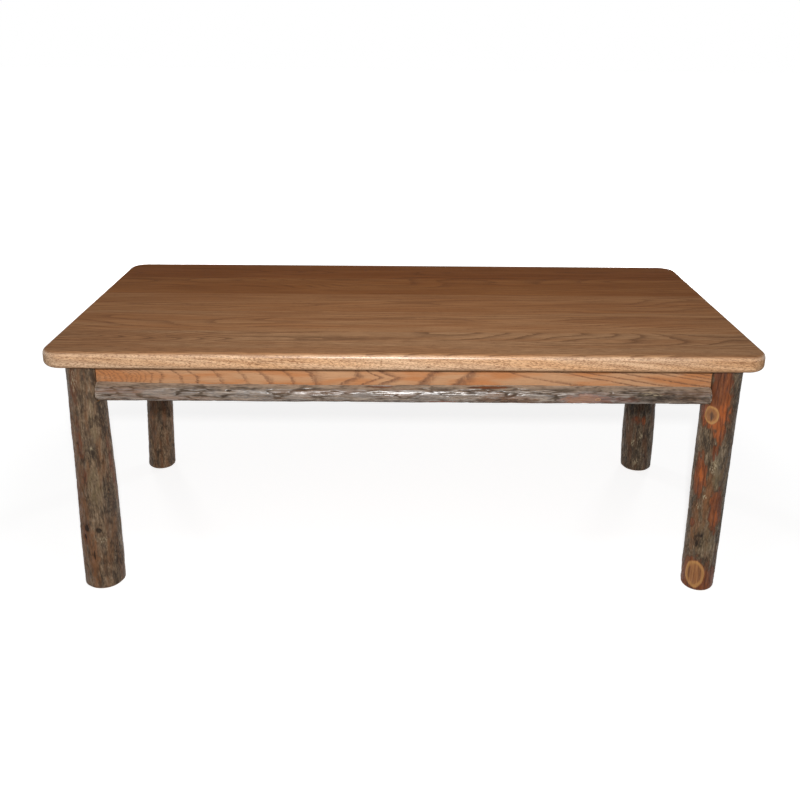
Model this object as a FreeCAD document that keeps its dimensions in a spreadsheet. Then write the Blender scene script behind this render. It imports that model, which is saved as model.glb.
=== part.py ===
import FreeCAD, Part
import math
import os
import re

import Sketcher
from FreeCAD import Rotation, Vector

# Rustic coffee table: a glued-up oak top on four log legs with the bark left on. Oak aprons stand
# between the legs, and half logs are screwed to their outer faces. The origin is on the floor under
# the middle of the top, +X runs along the table, -Y is its front and +Z is up. Sizes are millimetres.

SIZES = {
    # Top
    "table_length": 1219.2,
    "table_width": 609.6,
    "table_height": 469.9,
    "top_thickness": 30.2,
    "board_count": 5,
    "corner_radius": 35.0,
    "edge_round": 9.0,
    # Legs: where their axes stand, and the flats sawn at their tops
    "leg_end_setback": 56.6,
    "leg_side_setback": 59.8,
    "notch_depth": 5.0,
    "foot_chamfer": 4.0,
    # Each log: radii from the floor up, lean of the foot from the axis, and bow between foot and top
    "front_left_foot_radius": 36.2,
    "front_left_shin_radius": 35.3,
    "front_left_knee_radius": 33.0,
    "front_left_top_radius": 31.0,
    "front_left_lean_x": -1.5,
    "front_left_lean_y": 1.0,
    "front_left_bow_x": 2.0,
    "front_left_bow_y": -2.0,
    "front_right_foot_radius": 29.6,
    "front_right_shin_radius": 30.7,
    "front_right_knee_radius": 31.1,
    "front_right_top_radius": 33.0,
    "front_right_lean_x": -1.5,
    "front_right_lean_y": -1.0,
    "front_right_bow_x": 0.5,
    "front_right_bow_y": 1.5,
    "back_left_foot_radius": 30.3,
    "back_left_shin_radius": 29.2,
    "back_left_knee_radius": 28.7,
    "back_left_top_radius": 29.0,
    "back_left_lean_x": -11.5,
    "back_left_lean_y": -4.0,
    "back_left_bow_x": 0.5,
    "back_left_bow_y": 2.0,
    "back_right_foot_radius": 34.6,
    "back_right_shin_radius": 35.0,
    "back_right_knee_radius": 31.3,
    "back_right_top_radius": 31.0,
    "back_right_lean_x": 2.5,
    "back_right_lean_y": 4.0,
    "back_right_bow_x": -2.0,
    "back_right_bow_y": 1.0,
    # Aprons, with the groove for the buttons in their inner faces
    "apron_height": 72.0,
    "apron_thickness": 19.0,
    "apron_reach": 14.0,
    "groove_drop": 10.0,
    "groove_width": 6.4,
    "groove_depth": 10.0,
    # Half-log rails: radii from one end to the other
    "rail_butt_radius": 17.2,
    "rail_neck_radius": 15.3,
    "rail_middle_radius": 15.7,
    "rail_waist_radius": 16.1,
    "rail_tip_radius": 15.2,
    "rail_end_ease": 3.0,
    # Corner blocks
    "block_gap": 6.0,
    "block_thickness": 22.0,
    "block_height": 50.0,
    # Hanger bolts, washers and nuts
    "bolt_diameter": 8.0,
    "bolt_point": 8.0,
    "bolt_past_axis": 10.0,
    "bolt_proud": 6.0,
    "bolt_clearance": 0.5,
    "thread_clearance": 0.1,
    "washer_diameter": 18.0,
    "washer_thickness": 1.6,
    "nut_width": 12.7,
    "nut_height": 6.8,
    # Wood screws
    "screw_diameter": 4.2,
    "screw_head_diameter": 8.2,
    "screw_point": 5.0,
    "block_screw_sink": 5.5,
    "block_screw_bite": 13.0,
    "block_screw_spread": 26.0,
    "block_screw_clearance": 0.4,
    "rail_screw_bite": 10.0,
    "rail_screw_end": 78.0,
    "rail_screw_height": 15.5,
    "rail_screw_count_long": 5,
    "rail_screw_count_short": 3,
    # Buttons that hold the top down
    "button_width": 25.0,
    "button_reach": 30.0,
    "button_gap": 1.0,
    "tongue_clearance": 0.4,
    "tongue_end_clearance": 1.0,
    "button_screw_bite": 14.0,
    "button_end": 178.0,
    "button_count_long": 3,
    "button_count_short": 1,
}

LEGS = {
    "front_left": (-1, -1),
    "front_right": (1, -1),
    "back_left": (-1, 1),
    "back_right": (1, 1),
}
# Each side of the frame: its turn about Z, and the way out of the table
SIDES = {
    "front": (0, (0, -1)),
    "back": (180, (0, 1)),
    "left": (-90, (-1, 0)),
    "right": (90, (1, 0)),
}

# Places that several pieces share, as formulas of the sizes
LEG_X = "(table_length / 2 - leg_end_setback)"
LEG_Y = "(table_width / 2 - leg_side_setback)"
UNDERSIDE = "(table_height - top_thickness)"
APRON_BOTTOM = "(table_height - top_thickness - apron_height)"
TOP_RADII = "; ".join(name + "_top_radius" for name in LEGS)
FLAT = "(min(%s) - notch_depth)" % TOP_RADII
STOUTEST = "max(%s)" % "; ".join(key for key in SIZES if key.startswith(tuple(LEGS)) and "radius" in key)
SPAN = {"front": "(2 * (%s - %s))" % (LEG_X, FLAT), "left": "(2 * (%s - %s))" % (LEG_Y, FLAT)}
SPAN.update({"back": SPAN["front"], "right": SPAN["left"]})
INNER_FACE = "(apron_thickness - apron_reach)"
BLOCK_NEAR = "(max(%s) + block_gap)" % TOP_RADII
BLOCK_FAR = "(%s + block_thickness)" % BLOCK_NEAR
BLOCK_MIDDLE = "(%s - apron_height / 2)" % UNDERSIDE
HEAD_HEIGHT = "((screw_head_diameter - screw_diameter) / 2)"
TONGUE = "(groove_width - tongue_clearance)"
TONGUE_REACH = "(groove_depth - tongue_end_clearance)"
BUTTON_THICKNESS = "(groove_drop + %s)" % TONGUE

doc = FreeCAD.newDocument("rustic_coffee_table")
sheet = doc.addObject("Spreadsheet::Sheet", "sizes")
for row, (size_name, size) in enumerate(SIZES.items(), start=1):
    sheet.set("A%d" % row, size_name)
    sheet.set("B%d" % row, str(size))
    sheet.setAlias("B%d" % row, size_name)
doc.recompute()


def formula(text):
    """Writes a formula of size names as an expression on the sheet's cells."""
    return re.sub(r"[a-z_]+", lambda word: "sizes." + word[0] if word[0] in SIZES else word[0], text)


def number(text):
    """Works a formula out at the sheet's present values."""
    return float(sheet.evalExpression(formula(text)))


def bind(item, **formulas):
    """Ties properties to formulas of the sizes."""
    for name, text in formulas.items():
        item.setExpression(name, formula(text))


def place(item, x="0", y="0", z="0", turn=None):
    """Puts a piece at a place given by three formulas, turned as given."""
    if turn is not None:
        item.Placement.Rotation = turn
    for axis, text in zip("xyz", (x, y, z)):
        item.setExpression("Placement.Base." + axis, formula(text))


def side_sign(sign, text):
    """A formula on one side of the middle or the other."""
    return text if sign > 0 else "-" + text


def new_sketch(body, name, plane, across="0", up="0", out="0"):
    """A sketch on a plane of its body's origin, shifted in the plane and along its normal."""
    sketch = body.newObject("Sketcher::SketchObject", name)
    sketch.AttachmentSupport = [(next(f for f in body.Origin.OriginFeatures if f.Role == plane), "")]
    sketch.MapMode = "FlatFace"
    for axis, text in zip("xyz", (across, up, out)):
        sketch.setExpression("AttachmentOffset.Base." + axis, formula(text))
    return sketch


def outline(sketch, corners):
    """A closed outline of straight lines, each corner held at its two formulas from the origin."""
    spots = [Vector(number(across), number(up), 0) for across, up in corners]
    for start, end in zip(spots, spots[1:] + spots[:1]):
        sketch.addGeometry(Part.LineSegment(start, end))
    for line, (across, up) in enumerate(corners):
        before = (line - 1) % len(corners)
        sketch.addConstraint(Sketcher.Constraint("Coincident", before, 2, line, 1))
        for kind, text, axis_line in (("DistanceX", across, -2), ("DistanceY", up, -1)):
            if text == "0":
                sketch.addConstraint(Sketcher.Constraint("PointOnObject", line, 1, axis_line))
                continue
            held = sketch.addConstraint(Sketcher.Constraint(kind, -1, 1, line, 1, number(text)))
            sketch.setExpression("Constraints[%d]" % held, formula(text))


def round_section(body, name, radius, **shifts):
    """A circle across a log, at a height and with its centre shifted as given."""
    section = new_sketch(body, name, "XY_Plane", **shifts)
    section.addGeometry(Part.Circle(Vector(0, 0, 0), Vector(0, 0, 1), number(radius)))
    section.addConstraint(Sketcher.Constraint("Coincident", 0, 3, -1, 1))
    held = section.addConstraint(Sketcher.Constraint("Radius", 0, number(radius)))
    section.setExpression("Constraints[%d]" % held, formula(radius))
    return section


def half_round_section(body, name, radius, **shifts):
    """Half a circle across a split log, its flat side on the plane that the half log is laid on."""
    section = new_sketch(body, name, "YZ_Plane", **shifts)
    size = number(radius)
    circle = Part.Circle(Vector(0, 0, 0), Vector(0, 0, 1), size)
    section.addGeometry(Part.ArcOfCircle(circle, math.pi / 2, 3 * math.pi / 2))
    section.addGeometry(Part.LineSegment(Vector(0, -size, 0), Vector(0, size, 0)))
    section.addConstraint(Sketcher.Constraint("Coincident", 0, 3, -1, 1))
    section.addConstraint(Sketcher.Constraint("Coincident", 0, 2, 1, 1))
    section.addConstraint(Sketcher.Constraint("Coincident", 0, 1, 1, 2))
    section.addConstraint(Sketcher.Constraint("PointOnObject", 0, 1, -2))
    section.addConstraint(Sketcher.Constraint("PointOnObject", 0, 2, -2))
    held = section.addConstraint(Sketcher.Constraint("Radius", 0, size))
    section.setExpression("Constraints[%d]" % held, formula(radius))
    return section


def loft(body, name, sections, straight=False):
    """A solid drawn through sections in their order."""
    feature = body.newObject("PartDesign::AdditiveLoft", name)
    feature.Profile = sections[0]
    feature.Sections = sections[1:]
    feature.Ruled = straight
    return feature


def pad(body, name, sketch, length):
    """Pushes a sketch's outline out to a length."""
    feature = body.newObject("PartDesign::Pad", name)
    feature.Profile = sketch
    bind(feature, Length=length)
    return feature


def edge_names(shape, upright):
    """Names of a slab's upright edges, or of all its other ones."""
    names = []
    for rank, edge in enumerate(shape.Edges, start=1):
        box = edge.BoundBox
        if (box.ZLength > box.DiagonalLength / 2) == upright:
            names.append("Edge%d" % rank)
    return names


def cut(name, base, tool):
    """What is left of a piece when a tool's shape is taken out of it."""
    result = doc.addObject("Part::Cut", name)
    result.Base = base
    result.Tool = tool
    return result


def group(name, pieces):
    """Separate pieces kept together under one name."""
    result = doc.addObject("Part::Compound", name)
    result.Links = pieces
    return result


def wood_screw(name, length, head, way):
    """Countersunk wood screw, with the top of its head at a place and its point the given way."""
    cone = doc.addObject("Part::Cone", name + "_head")
    bind(cone, Radius1="screw_head_diameter / 2", Radius2="screw_diameter / 2", Height=HEAD_HEIGHT)
    shank = doc.addObject("Part::Cylinder", name + "_shank")
    bind(shank, Radius="screw_diameter / 2", Height="%s - %s - screw_point" % (length, HEAD_HEIGHT))
    place(shank, z=HEAD_HEIGHT)
    point = doc.addObject("Part::Cone", name + "_point")
    bind(point, Radius1="screw_diameter / 2", Radius2="0", Height="screw_point")
    place(point, z="%s - screw_point" % length)
    screw = doc.addObject("Part::MultiFuse", name)
    screw.Shapes = [cone, shank, point]
    place(screw, *head, turn=Rotation(Vector(0, 0, 1), Vector(*way)))
    return screw


def along(side, reach, run):
    """A point of the frame: so far out from the middle on one side, and so far along that side."""
    out_x, out_y = SIDES[side][1]
    if out_x:
        return side_sign(out_x, reach), run
    return run, side_sign(out_y, reach)


def side_reach(side):
    """How far the leg axes on one side stand out from the middle."""
    return LEG_X if SIDES[side][1][0] else LEG_Y


def spread(count, span, end):
    """Formulas for places along a span, the outer ones at a set distance from its ends."""
    if count == 1:
        return ["0"]
    half = "(%s / 2 - %s)" % (span, end)
    return ["%s * %d / %d" % (half, 2 * rank - count + 1, count - 1) for rank in range(count)]


# Top panel: a rectangle with rounded corners and a rounded edge above and below
panel = doc.addObject("PartDesign::Body", "top_panel")
plan = new_sketch(panel, "top_plan", "XY_Plane", across="-table_length / 2", up="-table_width / 2")
outline(plan, [("0", "0"), ("table_length", "0"), ("table_length", "table_width"), ("0", "table_width")])
slab = pad(panel, "top_slab", plan, "top_thickness")
doc.recompute()
corners = panel.newObject("PartDesign::Fillet", "top_corners")
corners.Base = (slab, edge_names(slab.Shape, upright=True))
bind(corners, Radius="corner_radius")
doc.recompute()
rounding = panel.newObject("PartDesign::Fillet", "top_rounding")
rounding.Base = (corners, edge_names(corners.Shape, upright=False))
bind(rounding, Radius="edge_round")
place(panel, z=UNDERSIDE)

# Screws and buttons under the top. A button hooks its tongue under the lip of the apron's groove.
buttons = []
button_screws = []
for side, (turn, out) in SIDES.items():
    count = int(SIZES["button_count_short" if out[0] else "button_count_long"])
    inner = "(%s - %s)" % (side_reach(side), INNER_FACE)
    for rank, run in enumerate(spread(count, SPAN[side], "button_end"), start=1):
        name = "button_%s_%d" % (side, rank)
        button = doc.addObject("PartDesign::Body", name)
        profile = new_sketch(
            button, name + "_profile", "YZ_Plane",
            across="-" + TONGUE_REACH, up="-" + BUTTON_THICKNESS, out="-button_width / 2",
        )
        tongue_root = "%s + button_gap" % TONGUE_REACH
        outline(profile, [
            ("0", "0"),
            (TONGUE_REACH + " + button_reach", "0"),
            (TONGUE_REACH + " + button_reach", BUTTON_THICKNESS),
            (tongue_root, BUTTON_THICKNESS),
            (tongue_root, TONGUE),
            ("0", TONGUE),
        ])
        pad(button, name + "_block", profile, "button_width")
        x, y = along(side, inner, run)
        place(button, x, y, UNDERSIDE, Rotation(Vector(0, 0, 1), turn))
        buttons.append(button)
        x, y = along(side, "(%s - (button_reach + button_gap) / 2)" % inner, run)
        button_screws.append(wood_screw(
            "button_screw_%s_%d" % (side, rank),
            "(%s + button_screw_bite)" % BUTTON_THICKNESS,
            (x, y, "%s - %s" % (UNDERSIDE, BUTTON_THICKNESS)),
            (0, 0, 1),
        ))
button_screw_group = group("button_screws", button_screws)
button_group = cut("top_buttons", group("button_blanks", buttons), button_screw_group)

# Boards of the top, glued edge to edge: each is its own strip of the panel
boards = []
board_count = int(SIZES["board_count"])
for rank in range(board_count):
    name = "top_board_%d" % (rank + 1)
    strip = doc.addObject("Part::Box", name + "_strip")
    bind(strip, Length="table_length", Width="table_width / board_count", Height="top_thickness")
    place(strip, "-table_length / 2", "table_width * (%d / board_count - 0.5)" % rank, UNDERSIDE)
    board = doc.addObject("Part::Common", name + "_blank")
    board.Base = panel
    board.Tool = strip
    boards.append(cut(name, board, button_screw_group))

# Hanger bolts: a pointed wood thread in the leg and a nut on the inner side of the corner block
bolts = []
washers = []
nuts = []
bolt_bores = {}
for name, (x_side, y_side) in LEGS.items():
    inward = Rotation(Vector(0, 0, 1), Vector(-x_side, -y_side, 0))
    spot = (side_sign(x_side, LEG_X), side_sign(y_side, LEG_Y), BLOCK_MIDDLE)
    point = doc.addObject("Part::Cone", name + "_bolt_point")
    bind(point, Radius1="0", Radius2="bolt_diameter / 2", Height="bolt_point")
    place(point, z="-bolt_past_axis")
    shank = doc.addObject("Part::Cylinder", name + "_bolt_shank")
    bolt_end = "%s + washer_thickness + nut_height + bolt_proud" % BLOCK_FAR
    bind(shank, Radius="bolt_diameter / 2", Height="%s + bolt_past_axis - bolt_point" % bolt_end)
    place(shank, z="bolt_point - bolt_past_axis")
    bolt = doc.addObject("Part::Fuse", name + "_bolt")
    bolt.Base = point
    bolt.Tool = shank
    place(bolt, *spot, turn=inward)
    bolts.append(bolt)

    disc = doc.addObject("Part::Cylinder", name + "_washer_disc")
    bind(disc, Radius="washer_diameter / 2", Height="washer_thickness")
    place(disc, z=BLOCK_FAR)
    eye = doc.addObject("Part::Cylinder", name + "_washer_eye")
    bind(eye, Radius="bolt_diameter / 2 + bolt_clearance", Height="washer_thickness")
    place(eye, z=BLOCK_FAR)
    washer = cut(name + "_washer", disc, eye)
    place(washer, *spot, turn=inward)
    washers.append(washer)

    hexagon = doc.addObject("Part::Prism", name + "_nut_hexagon")
    hexagon.Polygon = 6
    bind(hexagon, Circumradius="nut_width / sqrt(3)", Height="nut_height")
    place(hexagon, z="%s + washer_thickness" % BLOCK_FAR)
    thread = doc.addObject("Part::Cylinder", name + "_nut_thread")
    bind(thread, Radius="bolt_diameter / 2 + thread_clearance", Height="nut_height")
    place(thread, z="%s + washer_thickness" % BLOCK_FAR)
    nut = cut(name + "_nut", hexagon, thread)
    place(nut, *spot, turn=inward)
    nuts.append(nut)

    bore = doc.addObject("Part::Cylinder", name + "_bolt_bore")
    bind(bore, Radius="bolt_diameter / 2 + bolt_clearance", Height=BLOCK_FAR)
    place(bore, *spot, turn=inward)
    bolt_bores[name] = bore
bolt_group = group("hanger_bolts", bolts)
washer_group = group("bolt_washers", washers)
nut_group = group("bolt_nuts", nuts)

# Log legs: a round log, chamfered at the foot, with two flats sawn at the top for the aprons' ends
legs = []
LEVELS = ("foot", "shin", "knee", "top")
for bolt, (name, (x_side, y_side)) in zip(bolts, LEGS.items()):
    log = doc.addObject("PartDesign::Body", name + "_log")
    sections = []
    for rank, level in enumerate(LEVELS):
        fall = 1 - rank / (len(LEVELS) - 1)
        bowed = 1 if 0 < fall < 1 else 0
        sections.append(round_section(
            log, "%s_%s" % (name, level), "%s_%s_radius" % (name, level),
            across="%s_lean_x * %g + %s_bow_x * %d" % (name, fall, name, bowed),
            up="%s_lean_y * %g + %s_bow_y * %d" % (name, fall, name, bowed),
            out="foot_chamfer + (%s - foot_chamfer) * %g" % (UNDERSIDE, 1 - fall),
        ))
    loft(log, name + "_trunk", sections)
    sole = round_section(
        log, name + "_sole", "%s_foot_radius - foot_chamfer" % name,
        across=name + "_lean_x", up=name + "_lean_y",
    )
    loft(log, name + "_foot_rim", [sole, sections[0]], straight=True)
    place(log, side_sign(x_side, LEG_X), side_sign(y_side, LEG_Y))

    notched = log
    for axis, sign, axis_place, cross_place in (
        ("x", x_side, LEG_X, side_sign(y_side, LEG_Y)),
        ("y", y_side, LEG_Y, side_sign(x_side, LEG_X)),
    ):
        saw = doc.addObject("Part::Box", "%s_flat_%s" % (name, axis))
        bind(saw, Length="2 * " + STOUTEST, Width="2 * " + STOUTEST, Height="apron_height")
        flat_place = "%s - %s" % (axis_place, FLAT)
        start = "%s - 2 * %s" % (flat_place, STOUTEST) if sign > 0 else "-(%s)" % flat_place
        across = "%s - %s" % (cross_place, STOUTEST)
        x, y = (start, across) if axis == "x" else (across, start)
        place(saw, x, y, APRON_BOTTOM)
        notched = cut("%s_notched_%s" % (name, axis), notched, saw)
    legs.append(cut("leg_" + name, notched, bolt))

# Corner blocks: mitred at both ends to lie on two aprons, two screws into each
blocks = []
block_screws = []
for name, (x_side, y_side) in LEGS.items():
    block = doc.addObject("PartDesign::Body", name + "_block_blank")
    profile = new_sketch(block, name + "_block_plan", "XY_Plane", out="-block_height / 2")
    near_half = "(%s - sqrt(2) * %s)" % (BLOCK_NEAR, INNER_FACE)
    far_half = "(%s - sqrt(2) * %s)" % (BLOCK_FAR, INNER_FACE)
    outline(profile, [
        (BLOCK_NEAR, "-" + near_half),
        (BLOCK_FAR, "-" + far_half),
        (BLOCK_FAR, far_half),
        (BLOCK_NEAR, near_half),
    ])
    pad(block, name + "_block_body", profile, "block_height")
    turn = Rotation(Vector(1, 0, 0), Vector(-x_side, -y_side, 0))
    place(block, side_sign(x_side, LEG_X), side_sign(y_side, LEG_Y), BLOCK_MIDDLE, turn)
    drilled = cut(name + "_block_bored", block, bolt_bores[name])

    seat = "(block_thickness / sqrt(2) - block_screw_sink)"
    in_along = "((%s + %s) / sqrt(2) - %s)" % (BLOCK_NEAR, BLOCK_FAR, INNER_FACE)
    in_across = "(%s + %s)" % (INNER_FACE, seat)
    own_screws = []
    sinks = []
    for end, way, inset_x, inset_y in (
        ("long", (0, y_side, 0), in_along, in_across),
        ("short", (x_side, 0, 0), in_across, in_along),
    ):
        for rank, lift in enumerate((-0.5, 0.5), start=1):
            head = (
                side_sign(x_side, "(%s - %s)" % (LEG_X, inset_x)),
                side_sign(y_side, "(%s - %s)" % (LEG_Y, inset_y)),
                "%s + block_screw_spread * %g" % (BLOCK_MIDDLE, lift),
            )
            screw_name = "%s_block_screw_%s_%d" % (name, end, rank)
            own_screws.append(wood_screw(screw_name, "(%s + block_screw_bite)" % seat, head, way))
            sink = doc.addObject("Part::Cylinder", screw_name + "_sink")
            sink_radius = "screw_head_diameter / 2 + block_screw_clearance"
            bind(sink, Radius=sink_radius, Height="2 * block_thickness")
            place(sink, *head, turn=Rotation(Vector(0, 0, 1), -Vector(*way)))
            sinks.append(sink)
    sunk = cut(name + "_block_sunk", drilled, group(name + "_block_sinks", sinks))
    blocks.append(cut("corner_block_" + name, sunk, group(name + "_block_screws", own_screws)))
    block_screws.extend(own_screws)
block_screw_group = group("corner_block_screws", block_screws)

# Aprons and their half logs, with the screws that draw each half log onto its apron
aprons = []
rails = []
rail_screws = []
RAIL_RADII = ("butt", "neck", "middle", "waist", "tip")
for side, (turn, (out_x, out_y)) in SIDES.items():
    face = "(%s + apron_reach)" % side_reach(side)
    inner = "(%s - %s)" % (side_reach(side), INNER_FACE)
    spot = (*along(side, face, "0"), APRON_BOTTOM)
    facing = Rotation(Vector(0, 0, 1), turn)

    apron = doc.addObject("PartDesign::Body", "apron_%s_blank" % side)
    profile = new_sketch(apron, "apron_%s_profile" % side, "YZ_Plane", out="-%s / 2" % SPAN[side])
    groove_foot = "apron_height - groove_drop - groove_width"
    groove_lip = "apron_height - groove_drop"
    outline(profile, [
        ("0", "0"),
        ("apron_thickness", "0"),
        ("apron_thickness", groove_foot),
        ("apron_thickness - groove_depth", groove_foot),
        ("apron_thickness - groove_depth", groove_lip),
        ("apron_thickness", groove_lip),
        ("apron_thickness", "apron_height"),
        ("0", "apron_height"),
    ])
    pad(apron, "apron_%s_board" % side, profile, SPAN[side])
    place(apron, *spot, turn=facing)

    half_log = doc.addObject("PartDesign::Body", "rail_%s_blank" % side)
    sections = []
    for rank, name in enumerate(RAIL_RADII):
        share = rank / (len(RAIL_RADII) - 1) - 0.5
        sections.append(half_round_section(
            half_log, "rail_%s_%s" % (side, name), "rail_%s_radius" % name,
            up="rail_%s_radius" % name, out="(%s - 2 * rail_end_ease) * %g" % (SPAN[side], share),
        ))
    loft(half_log, "rail_%s_split" % side, sections)
    for name, share, section in (("butt", -0.5, sections[0]), ("tip", 0.5, sections[-1])):
        end = half_round_section(
            half_log, "rail_%s_%s_end" % (side, name), "rail_%s_radius - rail_end_ease" % name,
            up="rail_%s_radius" % name, out="%s * %g" % (SPAN[side], share),
        )
        loft(half_log, "rail_%s_%s_ease" % (side, name), [section, end], straight=True)
    place(half_log, *spot, turn=facing)

    count = int(SIZES["rail_screw_count_short" if out_x else "rail_screw_count_long"])
    own_screws = []
    for rank, run in enumerate(spread(count, SPAN[side], "rail_screw_end"), start=1):
        x, y = along(side, inner, run)
        own_screws.append(wood_screw(
            "rail_screw_%s_%d" % (side, rank),
            "(apron_thickness + rail_screw_bite)",
            (x, y, "%s + rail_screw_height" % APRON_BOTTOM),
            (out_x, out_y, 0),
        ))
    own_group = group("rail_%s_screws" % side, own_screws)
    rails.append(cut("log_rail_" + side, half_log, own_group))
    screwed = cut("apron_%s_screwed" % side, apron, own_group)
    aprons.append(cut("apron_" + side, screwed, block_screw_group))
    rail_screws.extend(own_screws)
rail_screw_group = group("rail_screws", rail_screws)

doc.recompute()
nodes = boards + legs + aprons + rails + blocks + [button_group]
nodes += [bolt_group, washer_group, nut_group, block_screw_group, rail_screw_group, button_screw_group]
for item in doc.Objects:
    if "Invalid" in item.State or "Error" in item.State:
        raise RuntimeError("%s failed: %s" % (item.Name, item.State))
for node in nodes:
    if node.Shape.isNull() or not node.Shape.isValid():
        raise RuntimeError("%s has no valid shape" % node.Label)

os.makedirs("parts", exist_ok=True)
for node in nodes:
    node.Shape.exportStep("parts/%s.step" % node.Label)
    print("%-28s %2d solids %10.1f mm3" % (node.Label, len(node.Shape.Solids), node.Shape.Volume))
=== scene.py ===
import math

import bpy
import numpy as np
from mathutils import Matrix, Vector, noise


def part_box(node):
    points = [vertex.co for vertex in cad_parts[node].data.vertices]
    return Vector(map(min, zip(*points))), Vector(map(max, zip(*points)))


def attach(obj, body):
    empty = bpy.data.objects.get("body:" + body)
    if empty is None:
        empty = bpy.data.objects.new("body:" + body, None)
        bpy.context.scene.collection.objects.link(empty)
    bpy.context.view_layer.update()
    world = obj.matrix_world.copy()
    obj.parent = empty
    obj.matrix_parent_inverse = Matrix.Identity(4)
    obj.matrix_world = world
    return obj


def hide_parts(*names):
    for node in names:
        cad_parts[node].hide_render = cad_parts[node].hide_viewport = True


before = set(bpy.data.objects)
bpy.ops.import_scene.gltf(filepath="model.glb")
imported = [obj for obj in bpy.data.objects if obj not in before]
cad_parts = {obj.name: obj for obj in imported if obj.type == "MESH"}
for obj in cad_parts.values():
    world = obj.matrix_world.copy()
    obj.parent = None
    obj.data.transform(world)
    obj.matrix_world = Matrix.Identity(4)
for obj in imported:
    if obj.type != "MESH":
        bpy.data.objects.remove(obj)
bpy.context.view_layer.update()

# The four legs are lengths of young hardwood trunk with the bark left on, brushed with varnish. Each is sawn
# square at foot and head, and its head has two flats sawn down to a shoulder, where aprons and rails butt.
# Bark has flaked off in patches, which bare the rust-coloured inner bark and a few pale branch knots.
LEG_FACETS = 256
LEG_ROWS = (20, 11)
LEG_CLEARANCE = 0.012
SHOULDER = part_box("apron_front")[0].z
SHOULDER_STEP = 0.0001
SAME_PLACE = 0.00001
SOLE_RIM = 0.004
END_RIM = 0.0025
SHOULDER_BAND = 0.001
LEVEL_FACING = 0.6
FLAT_FACING = 0.995
FLAT_REACH = 0.027

# Marks on a leg, by kind: bearing round the leg in degrees (0 faces the front, 90 the right), height of its
# middle, half its width along the bark and half its height, in metres. A peel is a patch where bark has
# flaked off, an ember a brighter part of one, a knot has a heart, a hole is a small pit, and the last six
# kinds are tints: shade is dark bark in places and painted shade in others, and the last is painted light
# on the upper side of the rails.
MARK_KINDS = ("peel", "ember", "knot", "heart", "hole", "pale", "warm", "russet", "shade", "moss", "painted_light")
LEG_MARKS = {
    "leg_front_left": {
        "russet": [
            (66, 0.285, 0.0034, 0.016), (70, 0.252, 0.0056, 0.03), (80, 0.215, 0.0056, 0.026),
            (-22, 0.398, 0.01, 0.04), (-18, 0.29, 0.008, 0.045), (-12, 0.225, 0.006, 0.03),
            (-50, 0.2, 0.006, 0.03), (-30, 0.112, 0.006, 0.026),
        ],
        "peel": [(165, 0.29, 0.012, 0.06), (-120, 0.12, 0.01, 0.04)],
        "hole": [
            (14, 0.122, 0.0054, 0.0062), (-24, 0.125, 0.0058, 0.0085), (-30, 0.108, 0.003, 0.0065),
            (-6, 0.073, 0.0018, 0.0115),
        ],
        "pale": [
            (14, 0.122, 0.0026, 0.0026), (22, 0.103, 0.01, 0.005), (-20, 0.408, 0.006, 0.022),
            (16, 0.284, 0.005, 0.006),
        ],
        "warm": [(-48, 0.18, 0.02, 0.23), (-12, 0.07, 0.012, 0.08)],
        "moss": [(24, 0.318, 0.007, 0.05), (16, 0.205, 0.015, 0.045)],
        "shade": [
            (20, 0.276, 0.013, 0.016), (60, 0.335, 0.013, 0.06), (58, 0.18, 0.015, 0.06),
            (66, 0.06, 0.012, 0.06),
        ],
    },
    "leg_front_right": {
        "peel": [
            (-18, 0.4, 0.019, 0.058), (-26, 0.352, 0.027, 0.034), (-62, 0.35, 0.017, 0.026),
            (-4, 0.318, 0.011, 0.026), (-17, 0.28, 0.0032, 0.018), (-8, 0.287, 0.0026, 0.015),
            (-57, 0.228, 0.0145, 0.046), (14, 0.168, 0.0155, 0.046), (-66, 0.135, 0.006, 0.01),
            (-40, 0.01, 0.042, 0.062), (30, 0.004, 0.025, 0.052), (150, 0.25, 0.016, 0.07),
        ],
        "ember": [
            (-16, 0.346, 0.02, 0.034), (-14, 0.318, 0.009, 0.024), (-64, 0.348, 0.008, 0.018),
            (-54, 0.23, 0.0048, 0.016), (16, 0.15, 0.005, 0.016),
        ],
        "knot": [(-41, 0.35, 0.0138, 0.018), (-33, 0.034, 0.02, 0.03)],
        "heart": [(-40, 0.349, 0.006, 0.012)],
        "hole": [(-25, 0.114, 0.0024, 0.004), (-38, 0.098, 0.002, 0.009)],
        "pale": [(-31, 0.193, 0.005, 0.006), (-46, 0.172, 0.0056, 0.006), (-14, 0.254, 0.009, 0.016)],
        "moss": [(-12, 0.25, 0.017, 0.03), (8, 0.225, 0.012, 0.035), (-14, 0.112, 0.016, 0.03)],
        "warm": [(-54, 0.135, 0.014, 0.06), (-20, 0.2, 0.01, 0.07)],
        # The shade marks at bearings 34 to 60, on this leg's side away from the main lamp, are painted
        # shade; the other two are dark bark.
        "shade": [
            (-34, 0.108, 0.01, 0.02), (60, 0.2, 0.01, 0.11), (42, 0.385, 0.012, 0.05),
            (34, 0.3, 0.009, 0.03), (-40, 0.296, 0.013, 0.014),
        ],
    },
    "leg_back_left": {
        "peel": [(30, 0.33, 0.009, 0.05), (200, 0.18, 0.013, 0.06)],
        "hole": [(150, 0.23, 0.005, 0.007)],
        "warm": [(-20, 0.2, 0.014, 0.12)],
        "moss": [(170, 0.3, 0.014, 0.06)],
    },
    "leg_back_right": {
        "russet": [(-22, 0.13, 0.013, 0.012)],
        "peel": [(2, 0.128, 0.005, 0.012), (-28, 0.132, 0.004, 0.007), (170, 0.32, 0.012, 0.065)],
        "pale": [(-5, 0.09, 0.0036, 0.02), (-32, 0.074, 0.0044, 0.014), (-15, 0.024, 0.007, 0.01)],
        "knot": [(205, 0.15, 0.011, 0.015)],
        "heart": [(205, 0.15, 0.005, 0.009)],
        "moss": [(230, 0.24, 0.012, 0.06)],
    },
}


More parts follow.
